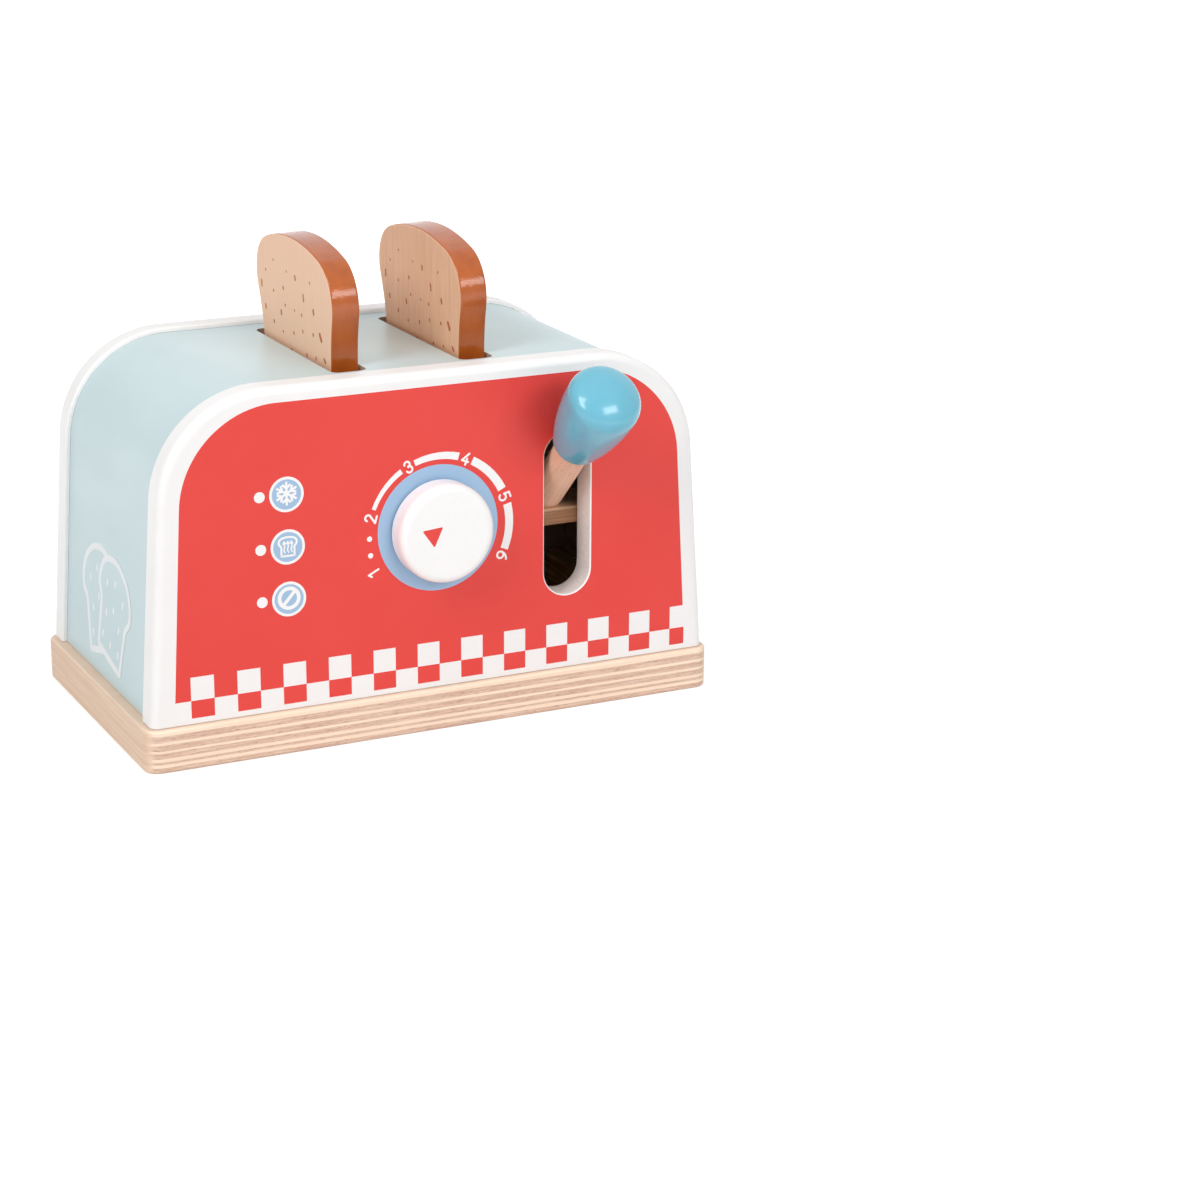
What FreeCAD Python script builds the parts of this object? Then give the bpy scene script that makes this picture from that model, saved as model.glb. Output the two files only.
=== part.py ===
import FreeCAD, Part
import math
import os
import Sketcher

# Wooden toy toaster: two bent-sheet sides between two boards on a plywood base, a turning dial,
# and a sprung lift that a slanted lever presses down, with two wooden slices standing on it.
# Millimetres, +X to the right, +Y to the back, +Z up, origin under the middle of the base.

SIZES = {
    # base board
    "base_length": 250.0, "base_depth": 136.2, "base_thick": 18.0, "base_corner": 6.5, "base_edge": 1.4,
    # front and back board
    "panel_thick": 12.0, "face_ledge": 2.0, "end_ledge": 2.7, "panel_height": 132.1,
    "side_slope": 3.8, "panel_corner": 45.2, "face_round": 3.3, "inner_round": 1.0, "foot_arris": 0.5,
    # bent sheet between the boards
    "wrap_thick": 3.0, "wrap_inset": 2.1, "groove_depth": 3.0, "glue_gap": 0.1,
    "bread_slot_x": 27.7, "bread_slot_width": 15.1, "bread_slot_length": 90.0, "bread_slot_round": 3.6,
    # battens that hold the foot of the sheet
    "batten_width": 14.0, "batten_tall": 14.0, "batten_length": 98.0,
    # wood screws up through the base
    "screw_length": 32.0, "screw_core": 1.7, "screw_head": 3.6, "screw_sink": 0.4, "screw_play": 0.1,
    "screw_spread": 92.0, "batten_screw_y": 30.0,
    # dial
    "dial_height": 67.6, "knob_radius": 20.5, "knob_thick": 10.4, "knob_round": 3.3, "knob_back_round": 0.8,
    "spindle_radius": 5.0, "spindle_depth": 6.5, "bore_play": 0.1, "washer_radius": 13.0,
    "washer_thick": 0.8, "retainer_radius": 12.0, "retainer_thick": 6.0, "run_gap": 0.3,
    # lever and its slot
    "lever_x": 58.0, "lever_slot_width": 20.9, "lever_slot_foot": 31.9, "lever_slot_length": 69.3,
    "lever_slot_rim": 0.7,
    "lever_radius": 7.5, "lever_tilt": 46.5, "lever_stop_gap": 0.5, "lever_in_grip": 16.0,
    "grip_stand": 10.0, "grip_length": 43.8, "grip_neck": 10.0, "grip_belly": 15.3,
    "grip_dome": 9.6, "grip_shoulder": 7.0, "grip_lip": 1.0,
    # lift
    "lift_height": 65.0, "lift_thick": 6.5, "lift_length": 160.0, "lift_gap": 0.8, "lift_round": 1.5,
    "notch_width": 40.0, "notch_depth": 12.0,
    "rail_width": 24.0, "rail_length": 92.0, "rail_tall": 20.0, "rail_groove": 8.0,
    # guide rods, blocks and springs
    "rod_radius": 4.0, "rod_spread": 29.0, "rod_socket": 10.0, "rod_above": 14.0,
    "block_width": 20.0, "block_tall": 10.0, "spring_radius": 6.2, "wire_radius": 0.6, "spring_turns": 6.0,
    # slices of bread
    "slice_width": 75.6, "slice_height": 99.5, "slice_thick": 12.0, "crown_width": 86.0,
    "crown_lobe": 18.0, "crown_arch": 104.0, "waist_curve": 90.0, "slice_foot_round": 8.0,
    "slice_edge": 1.0, "slice_gap": 0.3, "slice_lean": 2.3, "slice_shift": 0.4,
    "left_slice_back": 0.4, "right_slice_back": 0.3,
}

doc = FreeCAD.newDocument("toy_toaster")
sheet = doc.addObject("Spreadsheet::Sheet", "Sizes")
for row, (alias, number) in enumerate(SIZES.items(), start=1):
    sheet.set(f"A{row}", alias)
    sheet.set(f"B{row}", str(number))
    sheet.setAlias(f"B{row}", alias)
doc.recompute()


class Size:
    """A size that carries its number and the spreadsheet expression that gives it."""

    def __init__(self, number, text):
        self.number = float(number)
        self.text = text

    @staticmethod
    def of(other):
        return other if isinstance(other, Size) else Size(other, f"({float(other)})")

    def joined(self, other, sign, number):
        return Size(number, f"({self.text} {sign} {other.text})")

    def __add__(self, other):
        other = Size.of(other)
        return self.joined(other, "+", self.number + other.number)

    def __sub__(self, other):
        other = Size.of(other)
        return self.joined(other, "-", self.number - other.number)

    def __mul__(self, other):
        other = Size.of(other)
        return self.joined(other, "*", self.number * other.number)

    def __truediv__(self, other):
        other = Size.of(other)
        return self.joined(other, "/", self.number / other.number)

    def __radd__(self, other):
        return Size.of(other) + self

    def __rsub__(self, other):
        return Size.of(other) - self

    def __rmul__(self, other):
        return Size.of(other) * self

    def __neg__(self):
        return Size.of(-1) * self


def sine(angle):
    return Size(math.sin(math.radians(angle.number)), f"sin({angle.text} * 1 deg)")


def cosine(angle):
    return Size(math.cos(math.radians(angle.number)), f"cos({angle.text} * 1 deg)")


def tangent(angle):
    return Size(math.tan(math.radians(angle.number)), f"tan({angle.text} * 1 deg)")


def root(square):
    return Size(math.sqrt(square.number), f"sqrt({square.text})")


class Sheet:
    """Every cell of the sheet by its alias, as a Size."""

    def __getattr__(self, alias):
        return Size(SIZES[alias], f"Sizes.{alias}")


s = Sheet()


# ---------------------------------------------------------------- drawing helpers

def bind(thing, prop, size):
    thing.setExpression(prop, Size.of(size).text)


def new_body(label, x=0, y=0, z=0, rotation=None):
    """An empty body whose own origin stands at x, y, z of the toy."""
    body = doc.addObject("PartDesign::Body", label)
    body.Label = label
    if rotation is not None:
        body.Placement = FreeCAD.Placement(FreeCAD.Vector(), rotation)
    for axis, size in zip("xyz", (x, y, z)):
        bind(body, f"Placement.Base.{axis}", size)
    return body


def new_sketch(body, plane, offset=0):
    """A sketch on one of the body's own origin planes, raised along its normal by offset."""
    sketch = body.newObject("Sketcher::SketchObject", f"{body.Name}_{plane}")
    face = next(item for item in body.Origin.OriginFeatures if item.Role == plane)
    sketch.AttachmentSupport = [(face, "")]
    sketch.MapMode = "FlatFace"
    bind(sketch, "AttachmentOffset.Base.z", offset)
    return sketch


def fix_point(sketch, edge, end, x, y):
    """Hold one end of an edge at x, y of the sketch."""
    for kind, size, axis in (("DistanceX", x, -2), ("DistanceY", y, -1)):
        size = Size.of(size)
        if abs(size.number) < 1e-9:
            sketch.addConstraint(Sketcher.Constraint("PointOnObject", edge, end, axis))
        else:
            which = sketch.addConstraint(Sketcher.Constraint(kind, -1, 1, edge, end, size.number))
            bind(sketch, f"Constraints[{which}]", size)


def draw_circle(sketch, x, y, radius):
    centre = FreeCAD.Vector(Size.of(x).number, Size.of(y).number, 0)
    edge = sketch.addGeometry(Part.Circle(centre, FreeCAD.Vector(0, 0, 1), radius.number))
    fix_point(sketch, edge, 3, x, y)
    which = sketch.addConstraint(Sketcher.Constraint("Radius", edge, radius.number))
    bind(sketch, f"Constraints[{which}]", radius)


def draw_outline(sketch, corners):
    """A closed outline, given anticlockwise. A corner is (x, y), or (x, y, radius) where an arc runs on from it
    to the next corner: bulging outwards for a radius above 0, hollow for one below 0."""
    places = [FreeCAD.Vector(Size.of(c[0]).number, Size.of(c[1]).number, 0) for c in corners]
    count = len(corners)
    edges = []
    for i, corner in enumerate(corners):
        start, end = places[i], places[(i + 1) % count]
        if len(corner) == 2:
            edges.append((sketch.addGeometry(Part.LineSegment(start, end)), 1, 2))
            continue
        radius = corner[2].number
        outwards = radius > 0
        chord = end - start
        right = FreeCAD.Vector(chord.y, -chord.x, 0).normalize()
        rise = math.sqrt(max(radius * radius - chord.Length ** 2 / 4, 0.0))
        centre = (start + end) / 2 - right * (rise if outwards else -rise)
        circle = Part.Circle(centre, FreeCAD.Vector(0, 0, 1), abs(radius))
        spokes = (start - centre, end - centre) if outwards else (end - centre, start - centre)
        angles = [math.atan2(spoke.y, spoke.x) for spoke in spokes]
        edge = sketch.addGeometry(Part.ArcOfCircle(circle, *angles))
        edges.append((edge, 1, 2) if outwards else (edge, 2, 1))
    for i, (edge, first, last) in enumerate(edges):
        following = edges[(i + 1) % count]
        sketch.addConstraint(Sketcher.Constraint("Coincident", edge, last, following[0], following[1]))
        fix_point(sketch, edge, first, corners[i][0], corners[i][1])
        if len(corners[i]) == 2:
            continue
        size = corners[i][2]
        if abs((places[i] - places[(i + 1) % count]).Length - 2 * abs(size.number)) < 1e-6:
            sketch.addConstraint(Sketcher.Constraint("Horizontal", edge, 3, edge, first))
        else:
            size = size if size.number > 0 else -size
            which = sketch.addConstraint(Sketcher.Constraint("Radius", edge, size.number))
            bind(sketch, f"Constraints[{which}]", size)


def rectangle(x0, y0, x1, y1):
    return [(x0, y0), (x1, y0), (x1, y1), (x0, y1)]


def obround_upright(x, foot, width, length):
    """A slot with full-round ends, standing up from foot."""
    r = width / 2
    low = foot + r
    high = foot + length - r
    return [(x - r, low, r), (x + r, low), (x + r, high, r), (x - r, high)]


def round_rectangle(x, y, width, length, r):
    """A rectangle about x, y with corners of radius r."""
    left, right = x - width / 2, x + width / 2
    low, high = y - length / 2, y + length / 2
    return [
        (left + r, low), (right - r, low, r), (right, low + r), (right, high - r, r),
        (right - r, high), (left + r, high, r), (left, high - r), (left, low + r, r),
    ]


def pad(body, sketch, length, reverse=False, symmetric=False):
    feature = body.newObject("PartDesign::Pad", f"{body.Name}_pad")
    feature.Profile = sketch
    bind(feature, "Length", length)
    feature.Reversed = reverse
    feature.Midplane = symmetric
    return feature


def cut_pocket(body, sketch, length=None, reverse=False, symmetric=False):
    """Cuts a sketch into the body: length deep, or right through. It has to take something away."""
    doc.recompute()
    before = body.Shape.Volume
    feature = body.newObject("PartDesign::Pocket", f"{body.Name}_pocket")
    feature.Profile = sketch
    if length is None:
        feature.Type = "ThroughAll"
    else:
        bind(feature, "Length", length)
    feature.Reversed = reverse
    feature.Midplane = symmetric
    doc.recompute()
    if not body.Shape.Volume < before - 1e-3:
        raise RuntimeError(f"{feature.Name} cuts nothing")
    return feature


def revolve(body, sketch, axis):
    feature = body.newObject("PartDesign::Revolution", f"{body.Name}_turned")
    feature.Profile = sketch
    feature.ReferenceAxis = (sketch, [axis])
    feature.Angle = 360.0
    return feature


def round_edges(body, radius, chosen):
    """Rounds those edges of the body for which chosen(edge) is true."""
    doc.recompute()
    tip = body.Tip
    names = [f"Edge{i}" for i, edge in enumerate(tip.Shape.Edges, start=1) if chosen(edge)]
    feature = body.newObject("PartDesign::Fillet", f"{body.Name}_round")
    feature.Base = (tip, names)
    bind(feature, "Radius", radius)
    return feature


def lies_at(edge, axis, number):
    """True where the whole edge lies at that number of one axis."""
    ends = [getattr(edge.valueAt(edge.FirstParameter), axis), getattr(edge.valueAt(edge.LastParameter), axis)]
    middle = getattr(edge.valueAt((edge.FirstParameter + edge.LastParameter) / 2), axis)
    return all(abs(value - number) < 1e-4 for value in (*ends, middle))


# ---------------------------------------------------------------- shared places

base_top = s.base_thick
panel_outer = s.base_depth / 2 - s.face_ledge
panel_inner = panel_outer - s.panel_thick
panel_middle = panel_outer - s.panel_thick / 2
foot_half = s.base_length / 2 - s.end_ledge


def arch(inset):
    """The arch of the toaster's side view, moved inwards by inset: the right foot, the two ends of the right
    corner's arc and its radius, measured from the foot of the boards."""
    slope = s.side_slope
    centre_z = s.panel_height - s.panel_corner
    centre_x = foot_half - centre_z * tangent(slope) - s.panel_corner / cosine(slope)
    r = s.panel_corner - inset
    foot_x = foot_half - inset / cosine(slope)
    side = (centre_x + r * cosine(slope), centre_z + r * sine(slope))
    top = (centre_x, centre_z + r)
    return foot_x, side, top, r


def arch_outline(inset):
    foot_x, side, top, r = arch(inset)
    return [(-foot_x, 0), (foot_x, 0), (*side, r), top, (-top[0], top[1], r), (-side[0], side[1])]


def band_outline(outer_inset, inner_inset):
    """The band between two arches, open at the foot."""
    ox, oside, otop, outer_r = arch(outer_inset)
    ix, iside, itop, inner_r = arch(inner_inset)
    outside = [(ox, 0), (*oside, outer_r), otop, (-otop[0], otop[1], outer_r), (-oside[0], oside[1]), (-ox, 0)]
    inside = [(-ix, 0), (-iside[0], iside[1], -inner_r), (-itop[0], itop[1]), (*itop, -inner_r), iside, (ix, 0)]
    return outside + inside


wrap_foot = arch(s.wrap_inset + s.wrap_thick)[0]
batten_outer = wrap_foot - s.glue_gap
batten_middle = batten_outer - s.batten_width / 2
screw_places = [(x, y) for y in (-panel_middle, panel_middle) for x in (-s.screw_spread, Size.of(0), s.screw_spread)]
screw_places += [(x, y) for x in (-batten_middle, batten_middle) for y in (-s.batten_screw_y, s.batten_screw_y)]
screw_hole = s.screw_core + s.screw_play
pilot_depth = s.screw_length + s.screw_sink - s.base_thick + s.screw_play

# ---------------------------------------------------------------- base board
# Plywood with round corners. Countersunk holes for ten wood screws from below, two sockets for the rods.

base = new_body("base_board")
outline = new_sketch(base, "XY_Plane")
draw_outline(outline, round_rectangle(Size.of(0), Size.of(0), s.base_length, s.base_depth, s.base_corner))
pad(base, outline, s.base_thick)
round_edges(base, s.base_edge, lambda edge: lies_at(edge, "z", 0) or lies_at(edge, "z", s.base_thick.number))
sockets = new_sketch(base, "XY_Plane", s.base_thick)
for y in (-s.rod_spread, s.rod_spread):
    draw_circle(sockets, 0, y, s.rod_radius + s.glue_gap / 2)
cut_pocket(base, sockets, s.rod_socket)
screw_holes = new_sketch(base, "XY_Plane")
for x, y in screw_places:
    draw_circle(screw_holes, x, y, screw_hole)
doc.recompute()
plain_volume = base.Shape.Volume
holes = base.newObject("PartDesign::Hole", "base_board_holes")
holes.Profile = screw_holes
doc.recompute()
holes.ThreadType = "None"
holes.DepthType = "ThroughAll"
holes.Reversed = True
holes.HoleCutType = "Countersink"
bind(holes, "Diameter", screw_hole * 2)
bind(holes, "HoleCutDiameter", (s.screw_head + s.screw_play + s.screw_sink) * 2)
holes.HoleCutCountersinkAngle = 90.0
doc.recompute()
if not base.Shape.Volume < plain_volume - 100:
    raise RuntimeError("the screw holes of the base cut nothing")


# ---------------------------------------------------------------- front and back board
# Both boards have the same arched outline, a groove for the bent sheet and pilot holes for the base screws.

def board(label, front):
    side = -1 if front else 1
    body = new_body(label, 0, side * panel_inner, base_top)
    outline = new_sketch(body, "XZ_Plane")
    draw_outline(outline, arch_outline(Size.of(0)))
    pad(body, outline, s.panel_thick, reverse=not front)
    on_arch = [side * s.panel_thick.number, 0.0]
    for radius, place in ((s.face_round, on_arch[0]), (s.inner_round, on_arch[1])):
        round_edges(body, radius, lambda edge: lies_at(edge, "y", place) and not lies_at(edge, "z", 0))
    round_edges(body, s.foot_arris, lambda edge: lies_at(edge, "y", on_arch[0]) and lies_at(edge, "z", 0))
    groove = new_sketch(body, "XZ_Plane")
    draw_outline(groove, band_outline(s.wrap_inset - s.glue_gap, s.wrap_inset + s.wrap_thick + s.glue_gap))
    cut_pocket(body, groove, s.groove_depth, reverse=front)
    pilots = new_sketch(body, "XY_Plane")
    for x in (-s.screw_spread, Size.of(0), s.screw_spread):
        draw_circle(pilots, x, side * (s.panel_thick / 2), screw_hole)
    cut_pocket(body, pilots, pilot_depth, reverse=True)
    return body


front = board("front_panel", True)
openings = new_sketch(front, "XZ_Plane")
draw_outline(openings, obround_upright(s.lever_x, s.lever_slot_foot, s.lever_slot_width, s.lever_slot_length))
draw_circle(openings, 0, s.dial_height, s.spindle_radius + s.bore_play)
cut_pocket(front, openings, reverse=True)
round_edges(front, s.lever_slot_rim, lambda edge: lies_at(edge, "y", -s.panel_thick.number)
            and abs(edge.CenterOfMass.x - s.lever_x.number) < s.lever_slot_width.number)

back = board("back_panel", False)

# ---------------------------------------------------------------- bent sheet
# One thin sheet bent over both corners, let into the grooves of the boards, with two slots for the bread.

wrap = new_body("body_wrap", 0, 0, base_top)
section = new_sketch(wrap, "XZ_Plane")
draw_outline(section, band_outline(s.wrap_inset, s.wrap_inset + s.wrap_thick))
pad(wrap, section, (panel_inner + s.groove_depth - s.glue_gap) * 2, symmetric=True)
bread_slots = new_sketch(wrap, "XY_Plane", s.panel_height)
for x in (-s.bread_slot_x, s.bread_slot_x):
    draw_outline(bread_slots, round_rectangle(
        x, Size.of(0), s.bread_slot_width, s.bread_slot_length, s.bread_slot_round))
cut_pocket(wrap, bread_slots, s.panel_corner)

# ---------------------------------------------------------------- battens
# Two softwood battens on the base. Their outer faces lean like the sheet, which is glued to them.

for label, side in (("side_batten_left", -1), ("side_batten_right", 1)):
    batten = new_body(label, 0, 0, base_top)
    section = new_sketch(batten, "XZ_Plane")
    outer_top = batten_outer - s.batten_tall * tangent(s.side_slope)
    inner = batten_outer - s.batten_width
    corners = [(side * inner, 0), (side * batten_outer, 0), (side * outer_top, s.batten_tall),
               (side * inner, s.batten_tall)]
    draw_outline(section, corners if side > 0 else corners[::-1])
    pad(batten, section, s.batten_length, symmetric=True)
    pilots = new_sketch(batten, "XY_Plane")
    for y in (-s.batten_screw_y, s.batten_screw_y):
        draw_circle(pilots, side * batten_middle, y, screw_hole)
    cut_pocket(batten, pilots, reverse=True, length=s.batten_tall)

# ---------------------------------------------------------------- base screws
# Ten countersunk wood screws, six into the boards and four into the battens.

screw = new_body("screw_pattern")
profile = new_sketch(screw, "XZ_Plane")
draw_outline(profile, [
    (0, s.screw_sink), (s.screw_head, s.screw_sink),
    (s.screw_core, s.screw_sink + s.screw_head - s.screw_core),
    (s.screw_core, s.screw_sink + s.screw_length - s.screw_core),
    (0, s.screw_sink + s.screw_length),
])
revolve(screw, profile, "V_Axis")
doc.recompute()
screws = doc.addObject("Part::Feature", "base_screws")
screws.Label = "base_screws"
copies = []
for x, y in screw_places:
    copy = screw.Shape.copy()
    copy.translate(FreeCAD.Vector(x.number, y.number, 0))
    copies.append(copy)
screws.Shape = Part.makeCompound(copies)

# ---------------------------------------------------------------- dial
# A turned knob glued on a spindle, which runs in the board. A washer keeps the knob off the paint
# and a wooden disc glued on the inner end keeps the spindle in.

knob_back = panel_outer + s.run_gap + s.washer_thick
dial_z = base_top + s.dial_height
spindle_end = panel_inner - s.run_gap - s.retainer_thick

knob = new_body("dial_knob", 0, -knob_back, dial_z)
disc = new_sketch(knob, "XZ_Plane")
draw_circle(disc, 0, 0, s.knob_radius)
pad(knob, disc, s.knob_thick)
round_edges(knob, s.knob_round, lambda edge: lies_at(edge, "y", -s.knob_thick.number))
round_edges(knob, s.knob_back_round, lambda edge: lies_at(edge, "y", 0))
bore = new_sketch(knob, "XZ_Plane")
draw_circle(bore, 0, 0, s.spindle_radius + s.glue_gap / 2)
cut_pocket(knob, bore, s.spindle_depth, reverse=True)

spindle = new_body("dial_spindle", 0, -spindle_end, dial_z)
disc = new_sketch(spindle, "XZ_Plane")
draw_circle(disc, 0, 0, s.spindle_radius)
pad(spindle, disc, knob_back - spindle_end + s.spindle_depth - s.glue_gap)


def ring(label, inner_y, thick, outer, hole):
    """A disc with a hole, standing on the spindle."""
    body = new_body(label, 0, -inner_y, dial_z)
    disc = new_sketch(body, "XZ_Plane")
    draw_circle(disc, 0, 0, outer)
    draw_circle(disc, 0, 0, hole)
    pad(body, disc, thick)
    return body


ring("dial_washer", knob_back - s.washer_thick, s.washer_thick, s.washer_radius, s.spindle_radius + s.bore_play)
ring("dial_retainer", spindle_end, s.retainer_thick, s.retainer_radius, s.spindle_radius + s.glue_gap / 2)

# ---------------------------------------------------------------- lever
# A dowel glued through the lift board, slanting out through the slot, with a turned grip on its end.
# At rest its upper side lies just under the top of the slot.

slot_top = base_top + s.lever_slot_foot + s.lever_slot_length
half_cut = s.lever_radius / sine(s.lever_tilt)
axis_z = slot_top - s.lever_stop_gap - half_cut
lift_top = base_top + s.lift_height
lift_foot = lift_top - s.lift_thick
tilt = FreeCAD.Rotation(FreeCAD.Vector(1, 0, 0), SIZES["lever_tilt"])
drop = (axis_z - lift_foot) / cosine(s.lever_tilt)

dowel = new_body("lever_dowel", s.lever_x, -panel_outer, axis_z, tilt)
disc = new_sketch(dowel, "XY_Plane", -drop - s.lever_radius * tangent(s.lever_tilt))
draw_circle(disc, 0, 0, s.lever_radius)
pad(dowel, disc, drop + s.lever_radius * tangent(s.lever_tilt) + s.grip_stand + s.lever_in_grip)
flush = new_sketch(dowel, "YZ_Plane")
over = s.lever_radius * 1.2
reach = over * tangent(s.lever_tilt)
draw_outline(flush, [(-over, -drop + reach), (-over, -drop - reach * 3), (over, -drop - reach * 3),
                     (over, -drop - reach)])
cut_pocket(dowel, flush, symmetric=True)

grip = new_body("lever_grip", s.lever_x, -panel_outer, axis_z, tilt)
profile = new_sketch(grip, "XZ_Plane")
belly_z = s.grip_stand + s.grip_length - s.grip_dome
side_rise = belly_z - s.grip_stand - s.grip_lip
side_swell = s.grip_belly - s.grip_neck
side_curve = (side_rise * side_rise + side_swell * side_swell) / (side_swell * 2)
shoulder_in = s.grip_belly - s.grip_shoulder
dome_over = s.grip_dome - s.grip_shoulder
dome_drop = (shoulder_in * shoulder_in - dome_over * dome_over) / (dome_over * 2)
dome_curve = dome_drop + s.grip_dome
turn_x = shoulder_in * dome_curve / (dome_curve - s.grip_shoulder)
turn_z = belly_z - dome_drop + dome_drop * dome_curve / (dome_curve - s.grip_shoulder)
draw_outline(profile, [
    (0, s.grip_stand), (s.grip_neck - s.grip_lip, s.grip_stand),
    (s.grip_neck, s.grip_stand + s.grip_lip, side_curve),
    (s.grip_belly, belly_z, s.grip_shoulder),
    (turn_x, turn_z, dome_curve),
    (0, s.grip_stand + s.grip_length),
])
revolve(grip, profile, "V_Axis")
bore = new_sketch(grip, "XY_Plane", s.grip_stand)
draw_circle(bore, 0, 0, s.lever_radius + s.glue_gap / 2)
cut_pocket(grip, bore, s.lever_in_grip + s.glue_gap, reverse=True)

# ---------------------------------------------------------------- lift board
# A thin board that reaches from board to board inside, notched in front for the end of the dial's spindle.
# Holes for the slanted dowel and for the guide rods.

blank = new_body("lift_blank", 0, 0, lift_foot)
outline = new_sketch(blank, "XY_Plane")
lx = s.lift_length / 2
ly = panel_inner - s.lift_gap
nx = s.notch_width / 2
ny = ly - s.notch_depth
draw_outline(outline, [(-lx, -ly), (-nx, -ly), (-nx, -ny), (nx, -ny), (nx, -ly), (lx, -ly), (lx, ly), (-lx, ly)])
pad(blank, outline, s.lift_thick)
round_edges(blank, s.lift_round, lambda edge: lies_at(edge, "z", s.lift_thick.number)
            and lies_at(edge, "y", -ly.number))
rod_holes = new_sketch(blank, "XY_Plane", s.lift_thick)
for y in (-s.rod_spread, s.rod_spread):
    draw_circle(rod_holes, 0, y, s.rod_radius + s.run_gap)
cut_pocket(blank, rod_holes)
drill = doc.addObject("Part::Cylinder", "lever_drill")
bind(drill, "Radius", s.lever_radius + s.glue_gap / 2)
bind(drill, "Height", drop * 2)
drill.Placement = FreeCAD.Placement(FreeCAD.Vector(), tilt)
bind(drill, "Placement.Base.x", s.lever_x)
bind(drill, "Placement.Base.y", -panel_outer + drop * 1.5 * sine(s.lever_tilt))
bind(drill, "Placement.Base.z", axis_z - drop * 1.5 * cosine(s.lever_tilt))
lift = doc.addObject("Part::Cut", "lift_board")
lift.Label = "lift_board"
lift.Base = blank
lift.Tool = drill

# ---------------------------------------------------------------- bread rails
# Grooved battens on the lift board. A slice stands loosely in each groove, which lies a little to the right of
# its slot, so the slice leans to the left.

slice_foot = lift_top + s.rail_tall - s.rail_groove + s.slice_gap + s.slice_thick / 2 * sine(s.slice_lean)
slot_z = base_top + s.panel_height - s.wrap_inset
foot_shift = s.slice_shift + (slot_z - slice_foot) * tangent(s.slice_lean)

for label, side in (("toast_rail_left", -1), ("toast_rail_right", 1)):
    rail = new_body(label, side * s.bread_slot_x + foot_shift, 0, lift_top)
    section = new_sketch(rail, "XZ_Plane")
    rx = s.rail_width / 2
    gx = s.bread_slot_width / 2
    floor = s.rail_tall - s.rail_groove
    draw_outline(section, [(-rx, 0), (rx, 0), (rx, s.rail_tall), (gx, s.rail_tall), (gx, floor), (-gx, floor),
                           (-gx, s.rail_tall), (-rx, s.rail_tall)])
    pad(rail, section, s.rail_length, symmetric=True)

# ---------------------------------------------------------------- guide rods, blocks and springs
# Two rods stand in the base. A block under the lift board runs on each, and a coil spring under the block
# carries the lift up again.

rod_foot = base_top - s.rod_socket
rod_height = lift_top + s.rod_above - rod_foot
block_foot = lift_foot - s.block_tall
spring_rest = block_foot - base_top - s.glue_gap * 2


def coil_spring(radius, wire, rise, turns):
    """Wire of eight flats, wound along a helix."""
    helix = Part.makeHelix(rise / turns, rise, radius)
    corners = []
    for i in range(9):
        angle = math.radians(45 * (i + 0.5))
        corners.append(FreeCAD.Vector(radius + wire * math.cos(angle), 0, wire * math.sin(angle)))
    return Part.Wire(helix).makePipeShell([Part.makePolygon(corners)], True, True)


for name, side in (("front", -1), ("back", 1)):
    rod = new_body(f"guide_rod_{name}", 0, side * s.rod_spread, rod_foot)
    disc = new_sketch(rod, "XY_Plane")
    draw_circle(disc, 0, 0, s.rod_radius)
    pad(rod, disc, rod_height)

    block = new_body(f"guide_block_{name}", 0, side * s.rod_spread, block_foot)
    square = new_sketch(block, "XY_Plane")
    half = s.block_width / 2
    draw_outline(square, rectangle(-half, -half, half, half))
    draw_circle(square, 0, 0, s.rod_radius + s.bore_play)
    pad(block, square, s.block_tall)

    spring = doc.addObject("Part::Feature", f"lift_spring_{name}")
    spring.Label = f"lift_spring_{name}"
    spring.Shape = coil_spring(
        s.spring_radius.number, s.wire_radius.number, (spring_rest - s.wire_radius * 2).number,
        round(s.spring_turns.number))
    spring.Placement.Base = FreeCAD.Vector(
        0, side * s.rod_spread.number, (base_top + s.glue_gap + s.wire_radius).number)

# ---------------------------------------------------------------- slices of bread
# Flat slices sawn from board: straight sides that swell into a crown with two lobes and a flat arch.

lean = FreeCAD.Rotation(FreeCAD.Vector(0, 1, 0), -SIZES["slice_lean"])
waist_x = s.slice_width / 2
lobe_x = s.crown_width / 2 - s.crown_lobe
arch_z = s.slice_height - s.crown_arch
arch_less = s.crown_arch - s.crown_lobe
lobe_z = arch_z + root(arch_less * arch_less - lobe_x * lobe_x)
bend = s.waist_curve + s.crown_lobe
bend_x = waist_x + s.waist_curve - lobe_x
bend_z = root(bend * bend - bend_x * bend_x)
waist_z = lobe_z - bend_z
swell = (lobe_x + bend_x * s.crown_lobe / bend, lobe_z - bend_z * s.crown_lobe / bend)
crown = (lobe_x * s.crown_arch / arch_less, arch_z + (lobe_z - arch_z) * s.crown_arch / arch_less)
foot_in = waist_x - s.slice_foot_round

for name, side in (("left", -1), ("right", 1)):
    back = Size(SIZES[f"{name}_slice_back"], f"Sizes.{name}_slice_back")
    bread = new_body(f"toast_slice_{name}", side * s.bread_slot_x + foot_shift, back, slice_foot, lean)
    outline = new_sketch(bread, "YZ_Plane")
    draw_outline(outline, [
        (-foot_in, 0), (foot_in, 0, s.slice_foot_round), (waist_x, s.slice_foot_round),
        (waist_x, waist_z, -s.waist_curve), (*swell, s.crown_lobe), (*crown, s.crown_arch),
        (-crown[0], crown[1], s.crown_lobe), (-swell[0], swell[1], -s.waist_curve), (-waist_x, waist_z),
        (-waist_x, s.slice_foot_round, s.slice_foot_round),
    ])
    pad(bread, outline, s.slice_thick, symmetric=True)
    half = SIZES["slice_thick"] / 2
    round_edges(bread, s.slice_edge, lambda edge: lies_at(edge, "x", half) or lies_at(edge, "x", -half))

# ---------------------------------------------------------------- checks and files

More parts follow.
